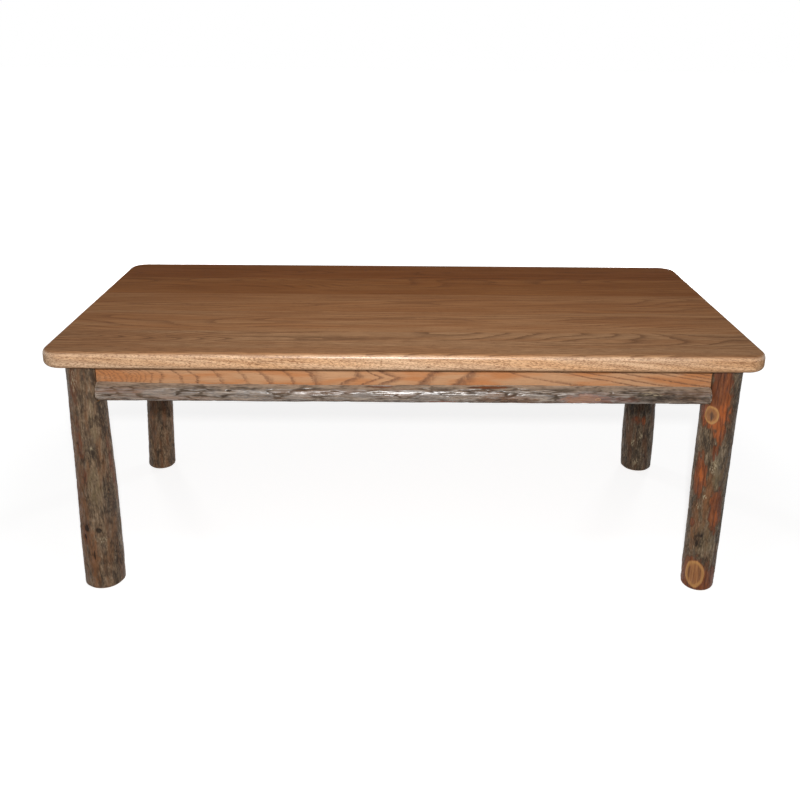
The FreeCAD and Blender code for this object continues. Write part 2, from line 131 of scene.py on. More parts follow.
def select_only(piece):
    """Leaves one object selected and active, so that operators act on it alone."""
    bpy.ops.object.select_all(action="DESELECT")
    piece.select_set(True)
    bpy.context.view_layer.objects.active = piece


def edit_parts(piece, kind, wanted, work, **settings):
    """Selects the vertices, edges or faces that pass a test, and runs one step of work on them."""
    modes = {"vertices": "VERT", "edges": "EDGE", "polygons": "FACE"}
    bpy.ops.object.mode_set(mode="EDIT")
    bpy.ops.mesh.select_mode(type=modes[kind])
    bpy.ops.mesh.select_all(action="DESELECT")
    bpy.ops.object.mode_set(mode="OBJECT")
    for part in getattr(piece.data, kind):
        part.select = wanted(part)
    bpy.ops.object.mode_set(mode="EDIT")
    work(**settings)
    bpy.ops.object.mode_set(mode="OBJECT")


def any_part(part):
    """A test that every part passes."""
    return True


def open_tube(name, facets, radius, length, middle, turn, rows):
    """An open tube, as long as a log, with as many rows along it as the two numbers in rows multiply to."""
    bpy.ops.object.select_all(action="DESELECT")
    bpy.ops.mesh.primitive_cylinder_add(
        vertices=facets, radius=radius, depth=length, end_fill_type="NOTHING", location=middle, rotation=turn
    )
    tube = bpy.context.active_object
    tube.name = name
    tube.data.name = name
    bpy.ops.object.transform_apply(location=True, rotation=True, scale=True)
    points = tube.data.vertices
    axis = max(range(3), key=lambda i: abs(points[0].co[i] - points[1].co[i]))
    for count in rows:
        points = tube.data.vertices

        def runs_along(edge):
            ends = [points[i].co[axis] for i in edge.vertices]
            return abs(ends[0] - ends[1]) > SAME_PLACE

        edit_parts(tube, "edges", runs_along, bpy.ops.mesh.subdivide, number_cuts=count - 1)
    return tube


def fit_to(piece, node):
    """Draws a piece in onto the surface of a node of the frame, each point along its own normal."""
    select_only(piece)
    fit = piece.modifiers.new("fit", "SHRINKWRAP")
    fit.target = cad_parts[node]
    fit.wrap_method = "PROJECT"
    fit.wrap_mode = "ON_SURFACE"
    fit.use_negative_direction = True
    fit.use_positive_direction = False
    bpy.ops.object.modifier_apply(modifier=fit.name)


def close_end(piece, axis, level):
    """Closes a tube at one end with a flat face, set in once and poked, so that the sawn end has a rim."""

    def close_loop():
        bpy.ops.mesh.select_mode(type="EDGE")
        bpy.ops.mesh.edge_face_add()
        bpy.ops.mesh.inset(thickness=END_RIM)
        bpy.ops.mesh.poke()

    edit_parts(piece, "vertices", lambda point: abs(point.co[axis] - level) < SAME_PLACE, close_loop)


def points_of(piece):
    """All points of a piece, one row each."""
    flat = np.empty(len(piece.data.vertices) * 3)
    piece.data.vertices.foreach_get("co", flat)
    return flat.reshape(-1, 3)


def unit_rows(rows):
    """Rows of vectors, each brought to length 1."""
    return rows / np.maximum(np.linalg.norm(rows, axis=1, keepdims=True), SAME_PLACE)


def smooth_step(values, low, high):
    """0 below low, 1 above high, and a soft rise between."""
    share = np.clip((values - low) / (high - low), 0.0, 1.0)
    return share * share * (3.0 - 2.0 * share)


def noise_at(places, sizes, shift):
    """Smooth noise from -1 to 1 at points of a log, whose lumps are sizes metres big each way."""
    scaled = places / np.array(sizes) + shift
    return np.array([noise.noise(place) for place in scaled.tolist()])


def plate_edges(places, sizes, shift):
    """How far each point lies inside its plate of bark, 0 on the crack between two plates."""
    scaled = places / np.array(sizes) + shift
    nearest = [noise.voronoi(place)[0] for place in scaled.tolist()]
    return np.array([ranked[1] - ranked[0] for ranked in nearest])


# How deep the parts of the bark's relief go, in metres.
STRAND_DEPTH = 0.00034
CRACK_DEPTH = 0.00075
PEEL_DEPTH = 0.0009
PEEL_STRAND_DEPTH = 0.00018
KNOT_RIM_HEIGHT = 0.0007
HEART_DEPTH = 0.0005
HOLE_DEPTH = 0.0016


def work_bark(log, places, bearings, radius, outward, still, marks, seed, plate, swell_depth, flake_depth):
    """Raises plates, cracks, flaked patches and knots on a log, and keeps each as an attribute.

    places are the points in the log's own frame, its length third; still are points that stay sawn smooth;
    plate is how wide and how long the plates of bark are; the last two are how deep swellings and flakes go.
    """
    shift = np.array((seed * 7.31, seed * 3.17, seed * 5.03))
    wide, long = plate

    def lumps(across, along, apart=0.0):
        return noise_at(places, (across, across, along), shift + apart)

    wrung = places + 0.35 * wide * lumps(2.0 * wide, 0.7 * long)[:, None] * np.array((1.0, 1.0, 0.0))
    cleft = 1.0 - smooth_step(plate_edges(wrung, (wide, wide, long), shift), 0.02, 0.24)
    cleft *= smooth_step(lumps(2.0 * wide, 0.9 * long, 11.0), -0.40, 0.45)
    swell = lumps(0.045, 0.090, 23.0) + 0.6 * lumps(0.016, 0.040, 29.0)
    strands = lumps(0.0028, 0.75 * long, 37.0)
    flakes = lumps(0.0040, 0.25 * long, 41.0)
    ragged = lumps(0.006, 0.014, 53.0) + 0.5 * lumps(0.0025, 0.006, 59.0)
    lumpy = lumps(0.010, 0.013, 71.0)
    inside = {kind: np.full(len(places), -1.0) for kind in MARK_KINDS}
    for kind, spots in marks.items():
        roundness = 1.4 if kind == "heart" else 2.0
        for bearing, height, half_width, half_height in spots:
            turned = (bearings - bearing + 180.0) % 360.0 - 180.0
            across = np.abs(np.radians(turned) * radius / half_width)
            along = np.abs((places[:, 2] - height) / half_height)
            reach = (across**roundness + along**roundness) ** (1.0 / roundness)
            inside[kind] = np.maximum(inside[kind], 1.0 - reach)
    knot = np.clip(inside["knot"] + 0.07 * lumpy, 0.0, 1.0)
    heart = smooth_step(inside["heart"] + 0.20 * ragged + 0.20 * lumpy, 0.0, 0.50)
    hole = smooth_step(inside["hole"] + 0.22 * ragged, 0.0, 0.35)
    flaked = np.maximum(inside["peel"] + 0.32 * ragged, 3.0 * inside["knot"])
    peel = smooth_step(flaked, -0.20, 0.45)
    bare = smooth_step(flaked, 0.0, 0.14)
    cover = 1.0 - bare
    cleft *= cover
    rim = smooth_step(knot, 0.0, 0.12) * (1.0 - smooth_step(knot, 0.22, 0.45))
    rise = swell_depth * swell
    rise += cover * (STRAND_DEPTH * strands + flake_depth * flakes - CRACK_DEPTH * cleft)
    rise += bare * (PEEL_STRAND_DEPTH * strands - PEEL_DEPTH)
    rise += KNOT_RIM_HEIGHT * rim - HEART_DEPTH * heart - HOLE_DEPTH * hole
    rise[still] = 0.0
    moved = points_of(log) + outward * rise[:, None]
    log.data.vertices.foreach_set("co", moved.ravel())
    kept = {"cleft": np.maximum(0.6 * cleft, hole), "peel": peel, "knot": knot, "heart": heart}
    for kind in ("ember", *BARK_TINTS):
        kept[kind] = smooth_step(inside[kind] + 0.50 * ragged, -0.15, 0.60)
    for title, values in kept.items():
        attribute = log.data.attributes.new(title, "FLOAT", "POINT")
        attribute.data.foreach_set("value", values.astype(np.float32))
    attribute = log.data.attributes.new("log_place", "FLOAT_VECTOR", "POINT")
    attribute.data.foreach_set("vector", places.astype(np.float32).ravel())
    log.data.update()


def stain(red, green, blue):
    """A colour as read on a screen, 0 to 255 each, as the linear colour that a shader takes."""
    shares = [level / 255.0 for level in (red, green, blue)]
    linear = [s / 12.92 if s <= 0.04045 else ((s + 0.055) / 1.055) ** 2.4 for s in shares]
    return (*linear, 1.0)


def new_finish(name):
    """A material with a Principled shader."""
    finish = bpy.data.materials.new(name)
    finish.use_nodes = True
    return finish


def feed(finish, socket, value):
    """Links another node's output to an input, or sets the input's own value."""
    if isinstance(value, bpy.types.NodeSocket):
        finish.node_tree.links.new(value, socket)
    else:
        socket.default_value = value


def surface(finish, title, value):
    """Feeds an input of a finish's Principled shader."""
    feed(finish, finish.node_tree.nodes["Principled BSDF"].inputs[title], value)


def new_node(finish, kind):
    """A new shader node of a kind."""
    return finish.node_tree.nodes.new("ShaderNode" + kind)


def attribute_node(finish, title, output="Fac"):
    """What a piece's mesh keeps under a title."""
    made = new_node(finish, "Attribute")
    made.attribute_name = title
    return made.outputs[output]


def object_place(finish, middle=(0.0, 0.0, 0.0), turn=(0.0, 0.0, 0.0)):
    """Object coordinates, seen from a middle of their own and turned."""
    place = new_node(finish, "TexCoord")
    mapping = new_node(finish, "Mapping")
    mapping.vector_type = "TEXTURE"
    feed(finish, mapping.inputs["Vector"], place.outputs["Object"])
    feed(finish, mapping.inputs["Location"], middle)
    feed(finish, mapping.inputs["Rotation"], turn)
    return mapping.outputs["Vector"]


def speckle(finish, place, sizes, shift=0.0, detail=2.0, rough=0.5, output="Fac"):
    """Noise whose lumps are sizes metres big each way."""
    mapping = new_node(finish, "Mapping")
    feed(finish, mapping.inputs["Vector"], place)
    feed(finish, mapping.inputs["Scale"], [1.0 / size for size in sizes])
    feed(finish, mapping.inputs["Location"], (shift, 1.7 * shift, 2.3 * shift))
    made = new_node(finish, "TexNoise")
    feed(finish, made.inputs["Vector"], mapping.outputs["Vector"])
    feed(finish, made.inputs["Scale"], 1.0)
    feed(finish, made.inputs["Detail"], detail)
    feed(finish, made.inputs["Roughness"], rough)
    return made.outputs[output]


def maths(finish, way, first, second=0.0, third=0.0):
    """One step of arithmetic on one to three numbers."""
    made = new_node(finish, "Math")
    made.operation = way
    for socket, value in zip(made.inputs, (first, second, third)):
        feed(finish, socket, value)
    return made.outputs["Value"]


def times(finish, first, second):
    """One number times another."""
    return maths(finish, "MULTIPLY", first, second)


def vector_maths(finish, way, first, second=(0.0, 0.0, 0.0), output="Vector"):
    """One step of arithmetic on two vectors."""
    made = new_node(finish, "VectorMath")
    made.operation = way
    feed(finish, made.inputs[0], first)
    feed(finish, made.inputs[1], second)
    return made.outputs[output]


def spread(finish, value, low, high, first=0.0, last=1.0):
    """A number taken from one range to another, with soft ends."""
    made = new_node(finish, "MapRange")
    made.interpolation_type = "SMOOTHSTEP"
    settings = {"Value": value, "From Min": low, "From Max": high, "To Min": first, "To Max": last}
    for title, setting in settings.items():
        feed(finish, made.inputs[title], setting)
    return made.outputs["Result"]


def ramp(finish, share, stops):
    """Colours along a scale from 0 to 1, given as (place, colour) pairs."""
    made = new_node(finish, "ValToRGB")
    feed(finish, made.inputs["Fac"], share)
    elements = made.color_ramp.elements
    while len(elements) < len(stops):
        elements.new(0.5)
    for element, (place, colour) in zip(elements, stops):
        element.position = place
        element.color = colour
    return made.outputs["Color"]


def layer(finish, share, under, over, way="MIX"):
    """One colour laid over another by a share."""
    made = new_node(finish, "Mix")
    made.data_type = "RGBA"
    made.blend_type = way
    feed(finish, made.inputs["Factor"], share)
    colours = [socket for socket in made.inputs if socket.type == "RGBA"]
    feed(finish, colours[0], under)
    feed(finish, colours[1], over)
    return next(socket for socket in made.outputs if socket.type == "RGBA")


def raise_surface(finish, height, depth):
    """Fine relief, depth metres from lowest to highest."""
    made = new_node(finish, "Bump")
    feed(finish, made.inputs["Height"], height)
    feed(finish, made.inputs["Distance"], depth)
    surface(finish, "Normal", made.outputs["Normal"])


# Tints of the bark: a colour and how strong it is at most. The shade tint is dark bark in places and painted
# shade where it lies on a side away from the main lamp or along the under side of a rail; the tint after it
# is painted light on the upper side of the rails.
BARK_TINTS = {
    "warm": (stain(122, 80, 49), 0.75),
    "russet": (stain(104, 60, 39), 0.85),
    "moss": (stain(110, 95, 69), 0.50),
    "shade": (stain(46, 40, 36), 0.75),
    "painted_light": (stain(166, 145, 125), 0.85),
    "pale": (stain(168, 152, 124), 0.80),
}


# The other colours of every log: bleached bark, dust and cracks, then the inner bark from its dark grain to
# its light, its old tone, its hairs and its rim, then the wood, ring and heart of a knot.
BLEACHED = stain(150, 134, 114)
DUST = stain(80, 75, 69)
CRACK = stain(38, 29, 23)
RUST_SCALE = [
    (0.28, stain(58, 32, 22)),
    (0.42, stain(98, 54, 33)),
    (0.56, stain(126, 71, 40)),
    (0.72, stain(148, 92, 56)),
]
OLD_RUST = stain(92, 58, 40)
RUST_HAIR = stain(54, 31, 22)
PEEL_RIM = stain(70, 46, 32)
KNOT_SCALE = [(0.32, stain(104, 68, 44)), (0.50, stain(142, 95, 60)), (0.66, stain(168, 118, 74))]
KNOT_RING = stain(178, 129, 77)
KNOT_HEART = stain(76, 58, 48)
BARK_SHINE = 0.10
SEED_STEP = 5.3


def bark_finish(name, tones, seed, stretch, patchy, varnish, dusty, depth):
    """Varnished bark: streaks and flecks along the log, cracks, rusty inner bark where it has flaked, knots.

    tones are the bark's dark, body, ridge and warm colours and its brightest inner bark; stretch is how far
    its flecks are drawn out along it; patchy is how dark its blotches are; varnish is how strong its gleam
    is, how much stays bare, how long the streaks are in metres, its roughness and its index; dusty is how
    evenly the rough surface sends light back; depth is how deep its fine relief goes.
    """
    finish = new_finish(name)
    dark, body, ridge, warm, ember = tones
    weight, bare_share, gleam_length, varnish_rough, varnish_index = varnish
    place = attribute_node(finish, "log_place", "Vector")

    def lumps(number, across, along, detail, rough):
        return speckle(finish, place, (across, across, along), SEED_STEP * seed + number, detail, rough)

    streaks = lumps(1.0, 0.0032, 0.040 * stretch, 3.0, 0.62)
    flecks = lumps(2.0, 0.0017, 0.0090 * stretch, 2.0, 0.6)
    bands = lumps(3.0, 0.010, 0.120 * stretch, 2.0, 0.5)
    blotches = lumps(4.0, 0.010, 0.036 * stretch, 3.0, 0.6)
    drift = lumps(5.0, 0.030, 0.090, 1.0, 0.5)
    grain = lumps(7.0, 0.0040, 0.055, 3.0, 0.62)
    hairs = lumps(8.0, 0.0012, 0.024, 1.0, 0.5)
    gleam = lumps(9.0, 0.0015, gleam_length, 3.0, 0.66)
    grey_share = maths(finish, "MULTIPLY_ADD", streaks, 0.55, times(finish, flecks, 0.45))
    bark = ramp(finish, grey_share, [(0.32, dark), (0.47, body), (0.58, ridge), (0.70, BLEACHED)])
    bark = layer(finish, spread(finish, bands, 0.46, 0.64, 0.0, 0.65), bark, warm)
    bark = layer(finish, spread(finish, blotches, 0.48, 0.64, 0.0, patchy), bark, dark)
    bark = layer(finish, spread(finish, drift, 0.52, 0.70, 0.0, 0.30), bark, DUST)
    broken = {
        "warm": spread(finish, streaks, 0.34, 0.60, 0.30, 1.0),
        "russet": spread(finish, flecks, 0.34, 0.58, 0.25, 1.0),
        "moss": spread(finish, blotches, 0.40, 0.62, 1.0, 0.10),
        "shade": spread(finish, flecks, 0.36, 0.64, 1.0, 0.35),
        "painted_light": spread(finish, grey_share, 0.34, 0.60, 0.25, 1.0),
        "pale": spread(finish, flecks, 0.44, 0.60),
    }
    # Tints from the marks: shade is partly painted shade, and the rails' upper-side tint is painted light.
    for tint, (tint_colour, strength) in BARK_TINTS.items():
        share = times(finish, attribute_node(finish, tint), broken[tint])
        bark = layer(finish, times(finish, share, strength), bark, tint_colour)
    cleft = attribute_node(finish, "cleft")
    bark = layer(finish, times(finish, cleft, 0.92), bark, CRACK)
    peel = attribute_node(finish, "peel")
    rust = ramp(finish, grain, RUST_SCALE)
    ember_share = spread(finish, grain, 0.34, 0.58, 0.25, 0.95)
    ember_share = times(finish, attribute_node(finish, "ember"), ember_share)
    rust = layer(finish, ember_share, rust, ember)
    rust = layer(finish, spread(finish, drift, 0.42, 0.66, 0.0, 0.40), rust, OLD_RUST)
    hair_share = spread(finish, hairs, 0.56, 0.70, 0.0, 0.60)
    hair_share = times(finish, hair_share, spread(finish, ember_share, 0.2, 0.7, 1.0, 0.3))
    rust = layer(finish, hair_share, rust, RUST_HAIR)
    colour = layer(finish, spread(finish, peel, 0.02, 0.40, 0.0, 0.60), bark, PEEL_RIM)
    colour = layer(finish, spread(finish, peel, 0.22, 0.85), colour, rust)
    knot = attribute_node(finish, "knot")
    inner = ramp(finish, grain, KNOT_SCALE)
    ring_share = spread(finish, knot, 0.02, 0.14)
    ring_share = times(finish, ring_share, spread(finish, knot, 0.18, 0.42, 1.0, 0.0))
    ring_share = times(finish, ring_share, spread(finish, streaks, 0.30, 0.54, 0.35, 0.90))
    inner = layer(finish, ring_share, inner, KNOT_RING)
    heart = spread(finish, streaks, 0.36, 0.60, 0.95, 0.55)
    heart = times(finish, attribute_node(finish, "heart"), heart)
    inner = layer(finish, heart, inner, KNOT_HEART)
    colour = layer(finish, spread(finish, knot, 0.0, 0.10), colour, inner)
    surface(finish, "Base Color", colour)
    surface(finish, "Roughness", spread(finish, grey_share, 0.34, 0.64, 0.62, 0.38))
    surface(finish, "Specular IOR Level", BARK_SHINE)
    surface(finish, "Diffuse Roughness", dusty)
    gleam = spread(finish, gleam, bare_share, bare_share + 0.16, 0.0, weight)
    gleam = times(finish, gleam, spread(finish, cleft, 0.1, 0.5, 1.0, 0.0))
    shade = attribute_node(finish, "shade")
    gleam = times(finish, gleam, spread(finish, shade, 0.0, 0.9, 1.0, 0.15))
    surface(finish, "Coat Weight", gleam)
    surface(finish, "Coat Roughness", varnish_rough)
    surface(finish, "Coat IOR", varnish_index)
    raise_surface(finish, maths(finish, "MULTIPLY_ADD", streaks, 0.6, flecks), depth)
    return finish


SAWN_RING = 0.0024
SAWN_WANDER = 0.005
SAWN_SHINE = 0.20
SAWN_RELIEF = 0.0003
SAWN_SCALE = [(0.20, stain(188, 146, 98)), (0.45, stain(176, 132, 86)), (0.72, stain(126, 88, 54))]


def sawn_finish(name):
    """Sawn pale wood: growth rings round the log's own middle, with fine saw marks."""
    finish = new_finish(name)
    place = attribute_node(finish, "log_place", "Vector")
    ripple = speckle(finish, place, (0.012, 0.012, 0.050), 1.0)
    fine = speckle(finish, place, (0.0006, 0.0006, 0.004), 2.0)
    across = vector_maths(finish, "MULTIPLY", place, (1.0, 1.0, 0.0))
    radius = vector_maths(finish, "LENGTH", across, output="Value")
    radius = maths(finish, "MULTIPLY_ADD", ripple, SAWN_WANDER, radius)
    ring = maths(finish, "FRACT", maths(finish, "DIVIDE", radius, SAWN_RING))
    tone = maths(finish, "MULTIPLY_ADD", ring, 0.45, times(finish, fine, 0.55))
    surface(finish, "Base Color", ramp(finish, tone, SAWN_SCALE))
    surface(finish, "Roughness", spread(finish, fine, 0.3, 0.7, 0.72, 0.58))
    surface(finish, "Specular IOR Level", SAWN_SHINE)
    raise_surface(finish, fine, SAWN_RELIEF)
    return finish


def mark_sawn(log, sawn):
    """Gives the sawn faces the log's second finish, and returns which points lie on them."""
    still = np.zeros(len(log.data.vertices), bool)
    for face in log.data.polygons:
        if sawn(face):
            face.material_index = 1
            still[list(face.vertices)] = True
    return still


SMOOTH_ANGLE = math.radians(50)


def finish_log(log, node, bark, sawn):
    """Puts bark and sawn wood on a log, smooths its shading and seats it in the frame."""
    log.data.materials.append(bark)
    log.data.materials.append(sawn)
    select_only(log)
    bpy.ops.object.shade_smooth_by_angle(angle=SMOOTH_ANGLE)
    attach(log, "root")
    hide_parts(node)


# The dark, body, ridge and warm colours of each leg's bark, and the brightest inner bark of all four.
LEG_BARK = {
    "leg_front_left": [(57, 45, 35), (104, 84, 65), (132, 110, 87), (112, 77, 51)],
    "leg_front_right": [(49, 40, 31), (97, 81, 63), (131, 112, 89), (104, 73, 49)],
    "leg_back_left": [(50, 39, 30), (111, 88, 67), (150, 122, 95), (120, 80, 53)],
    "leg_back_right": [(39, 31, 25), (86, 71, 57), (124, 106, 85), (97, 65, 44)],
}
LEG_EMBER = (174, 94, 48)
LEG_PLATE = (0.0056, 0.026)
LEG_SWELL = 0.0007
LEG_FLAKE = 0.00032
LEG_STRETCH = 0.65
LEG_PATCHY = 0.66
LEG_VARNISH = (0.40, 0.47, 0.014, 0.23, 1.5)
LEG_DUST = 0.0
LEG_RELIEF = 0.0008
sawn_log_wood = sawn_finish("sawn_log_wood")
for seed, leg_name in enumerate(LEG_MARKS, start=1):
    low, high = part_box(leg_name)
    middle = (low + high) / 2
    widest = max(high.x - low.x, high.y - low.y) / 2 + LEG_CLEARANCE
    upright = (0.0, 0.0, 0.0)
    leg = open_tube(leg_name + "_bark", LEG_FACETS, widest, high.z - low.z, middle, upright, LEG_ROWS)
    for cut_height in (SOLE_RIM, SHOULDER - SHOULDER_STEP, SHOULDER + SHOULDER_STEP):
        plane = {"plane_co": (0.0, 0.0, cut_height), "plane_no": (0.0, 0.0, 1.0)}
        edit_parts(leg, "vertices", any_part, bpy.ops.mesh.bisect, threshold=SAME_PLACE, **plane)
    fit_to(leg, leg_name)
    close_end(leg, 2, low.z)
    close_end(leg, 2, high.z)
    points = points_of(leg)
    foot = points[np.abs(points[:, 2] - SOLE_RIM) < SAME_PLACE].mean(0)
    knee = points[np.abs(points[:, 2] - SHOULDER + SHOULDER_STEP) < SAME_PLACE].mean(0)
    lean = (knee - foot) / (knee[2] - foot[2])
    places = points - foot - lean * (points[:, 2:3] - foot[2])
    places[:, 2] = points[:, 2]
    bearings = np.degrees(np.arctan2(places[:, 0], -places[:, 1]))

    def leg_face_sawn(face):
        level = abs(face.normal.z) > LEVEL_FACING
        if level and (face.center.z < SOLE_RIM / 2 or face.center.z > SHOULDER - SHOULDER_BAND):
            return True
        flat = max(abs(face.normal.x), abs(face.normal.y)) > FLAT_FACING
        inward = face.normal.x * middle.x < 0 or face.normal.y * middle.y < 0
        set_in = np.hypot(*(np.array(face.center[:2]) - np.array(middle[:2]))) < FLAT_REACH
        return face.center.z > SHOULDER and flat and inward and set_in

    still = mark_sawn(leg, leg_face_sawn)
    outward = unit_rows(places * np.array((1.0, 1.0, 0.0)))
    radius = float(np.hypot(places[:, 0], places[:, 1]).mean())
    marks = LEG_MARKS[leg_name]
    work_bark(leg, places, bearings, radius, outward, still, marks, seed, LEG_PLATE, LEG_SWELL, LEG_FLAKE)
    tones = [stain(*tone) for tone in (*LEG_BARK[leg_name], LEG_EMBER)]
    leg_bark = bark_finish(
        leg_name + "_bark", tones, seed, LEG_STRETCH, LEG_PATCHY, LEG_VARNISH, LEG_DUST, LEG_RELIEF
    )
    finish_log(leg, leg_name, leg_bark, sawn_log_wood)

# The four aprons are flat oak boards, stained and oiled, that stand on edge under the top and butt against
# the flats of the legs. The front one was cut where the grain runs out, so its rings cross the face in arcs
# at the left, zigzag in the middle and slant at the right. The others are plain lengthwise grain.
APRON_LIGHT = stain(191, 146, 108)
APRON_WARM = stain(185, 124, 79)
APRON_LINE = stain(120, 84, 63)
APRON_PORE = stain(80, 50, 34)
APRON_RING = 0.0055
APRON_WANDER = 0.05
APRON_LINES = 0.62
APRON_ROUGH = 0.44
APRON_RELIEF = 0.0002
OAK_RELIEF = 0.00025
OAK_SHINE = 0.12
OAK_PORE = stain(94, 60, 40)
TOP_FACING = (0.45, 0.92)
EDGE_COAT = 1.0
EDGE_COAT_ROUGH = 0.34
APRON_FRONT_LOW, APRON_FRONT_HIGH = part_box("apron_front")
# Where each dark line of the front apron crosses the middle of what shows of it, in metres from its left
# end.
RING_PLACES = (
    0.0, 0.014, 0.026, 0.034, 0.042, 0.052, 0.059, 0.066, 0.073, 0.081, 0.092, 0.107, 0.140, 0.170, 0.207,
    0.256, 0.290, 0.330, 0.369, 0.436, 0.482, 0.512, 0.563, 0.625, 0.745, 0.851, 0.900, 0.957, 1.020, 1.058,
)
# How far a ring leans, as pairs of a place along the apron, 0 at its left end and 1 at its right, and a
# lean: 0.5 is upright, less leans its top to the left and more to the right.
RING_LEAN = [
    (0.0, 0.46), (0.20, 0.47), (0.34, 0.45), (0.38, 0.52), (0.41, 0.57), (0.45, 0.50), (0.49, 0.50),
    (0.53, 0.58), (0.60, 0.58), (0.70, 0.22), (1.0, 0.10),
]
# How much a ring is bent to a point that looks right.
RING_POINT = [
    (0.0, 0.14), (0.36, 0.14), (0.42, 0.20), (0.46, 0.62), (0.49, 0.55), (0.53, 0.12), (0.62, 0.05),
    (1.0, 0.05),
]
# The dark line's share of each ring, and how dark it is.
LINE_SHARE = [
    (0.0, 0.70), (0.07, 0.66), (0.10, 0.46), (0.20, 0.30), (0.34, 0.36), (0.42, 0.56), (0.50, 0.60),
    (0.60, 0.46), (0.70, 0.20), (0.80, 0.40), (1.0, 0.50),
]
LINE_DEPTH = [
    (0.0, 0.50), (0.10, 0.52), (0.14, 0.62), (0.34, 0.66), (0.42, 0.84), (0.60, 0.84), (0.68, 0.50),
    (0.80, 0.80), (1.0, 0.85),
]
LEAN_REACH = 16.0
POINT_REACH = 4.0
JAG_REACH = 0.012
BEND_REACH = 0.026
SHOWN_MIDDLE = 0.615
# How dark the porous early wood is on the way through a ring.
EARLY_WOOD = ((0.0, 0.75), (0.06, 1.0), (0.34, 0.30), (0.75, 0.06), (1.0, 0.18))


def curve(finish, value, stops):
    """A curve through given (place, height) pairs, all between 0 and 1."""
    made = new_node(finish, "FloatCurve")
    feed(finish, made.inputs["Value"], value)
    points = made.mapping.curves[0].points
    while len(points) < len(stops):
        points.new(0.5, 0.5)
    for point, (place, height) in zip(points, stops):
        point.location = (place, height)
        point.handle_type = "AUTO_CLAMPED"
    made.mapping.update()
    return made.outputs["Value"]


def parts_of(finish, vector):
    """The X, Y and Z of a vector."""
    made = new_node(finish, "SeparateXYZ")
    feed(finish, made.inputs["Vector"], vector)
    return made.outputs["X"], made.outputs["Y"], made.outputs["Z"]


def pores(finish, place, length, width, seed):
    """Short dark pores along the grain, 0 between them and 1 in them."""
    dashes = speckle(finish, place, (length, width, width), seed, 1.0, 0.5)
    return spread(finish, dashes, 0.60, 0.72)


def oak_rings(finish, place, ring_width, wander, seed):
    """How far each point lies through its growth ring, for a pith along X; slow wander bends the rings."""
    drift = speckle(finish, place, (0.42, 0.11, 0.11), seed, 1.0, 0.5, "Color")
    drift = vector_maths(finish, "SUBTRACT", drift, (0.5, 0.5, 0.5))
    drift = vector_maths(finish, "MULTIPLY", drift, (0.0, wander, wander))
    across = vector_maths(finish, "MULTIPLY", vector_maths(finish, "ADD", place, drift), (0.0, 1.0, 1.0))
    radius = vector_maths(finish, "LENGTH", across, output="Value")
    ripple = speckle(finish, place, (0.035, 0.005, 0.005), seed + 3.0, 2.0, 0.6)
    radius = maths(finish, "MULTIPLY_ADD", ripple, 0.35 * ring_width, radius)
    uneven = speckle(finish, across, (9.0, 0.05, 0.05), seed + 7.0, 0.0)
    radius = maths(finish, "MULTIPLY_ADD", uneven, 2.2 * ring_width, radius)
    return maths(finish, "FRACT", maths(finish, "DIVIDE", radius, ring_width))


def oak_finish(name, pith, turn, rings, tones, seed, line_strength, rough, shine, lit_edge_tones=None):
    """Stained oak with lengthwise grain: rings cut by the board's faces, pores, streaks, changes of tone.

    pith is a point on the pith, turn the way it runs, rings the rings' width and how far they wander; tones
    are the light and warm wood and the dark line, and the lighter edge tones take their place on the edges
    as painted light, while the underside keeps the face tones as painted shade.
    """
    finish = new_finish(name)
    light, warm, line = tones
    place = object_place(finish, pith, turn)
    ring = oak_rings(finish, place, *rings, seed)
    early = ramp(finish, ring, [(share, (level, level, level, 1.0)) for share, level in EARLY_WOOD])
    tone = speckle(finish, place, (0.30, 0.030, 0.030), seed + 11.0, 2.0, 0.5)
    streak = speckle(finish, place, (0.16, 0.0022, 0.0022), seed + 13.0, 3.0, 0.6)
    pore = pores(finish, place, 0.011, 0.0010, seed + 17.0)
    dull = spread(finish, streak, 0.3, 0.7, rough, rough + 0.10)
    line_share = times(finish, early, line_strength)
    # The edges take the lighter edge tones as painted light, where they face the main lamp; the top and the
    # underside keep the face tones, which leaves the underside darker as painted shade.
    if lit_edge_tones:
        facing = new_node(finish, "NewGeometry")
        face_end, _, face_up = parts_of(finish, facing.outputs["Normal"])
        flat = maths(finish, "ABSOLUTE", face_up)
        upward = spread(finish, flat, *TOP_FACING)
        light, warm, line = [layer(finish, upward, edge, top) for edge, top in zip(lit_edge_tones, tones)]
        end_on = spread(finish, maths(finish, "ABSOLUTE", face_end), 0.35, 0.85)
        edge_lines = maths(finish, "MULTIPLY_ADD", end_on, 0.42, 0.18)
        shown_lines = spread(finish, flat, *TOP_FACING, edge_lines, 1.0)
        line_share = times(finish, line_share, shown_lines)
    colour = layer(finish, spread(finish, tone, 0.35, 0.68), light, warm)
    colour = layer(finish, spread(finish, streak, 0.40, 0.68, 0.0, 0.46), colour, line)
    colour = layer(finish, line_share, colour, line)
    pore_share = maths(finish, "MULTIPLY_ADD", early, 0.6, 0.22)
    pore_share = times(finish, pore, pore_share)
    if lit_edge_tones:
        sideways = maths(finish, "SUBTRACT", 1.0, upward)
        specks = speckle(finish, place, (0.0044, 0.0044, 0.0013), seed + 19.0, 3.0, 0.62)
        speck_strength = maths(finish, "MULTIPLY_ADD", end_on, -0.40, 0.72)
        specks = spread(finish, specks, 0.46, 0.64, 0.0, speck_strength)
        colour = layer(finish, times(finish, specks, sideways), colour, lit_edge_tones[2])
        coated = spread(finish, face_up, 0.02, 0.25, 0.0, EDGE_COAT)
        surface(finish, "Coat Weight", times(finish, sideways, coated))
        surface(finish, "Coat Roughness", EDGE_COAT_ROUGH)
    colour = layer(finish, pore_share, colour, OAK_PORE)
    surface(finish, "Base Color", colour)
    surface(finish, "Roughness", dull)
    surface(finish, "Specular IOR Level", shine)
    relief = maths(finish, "MULTIPLY_ADD", pore_share, -1.0, times(finish, streak, 0.3))
    raise_surface(finish, relief, OAK_RELIEF)
    return finish


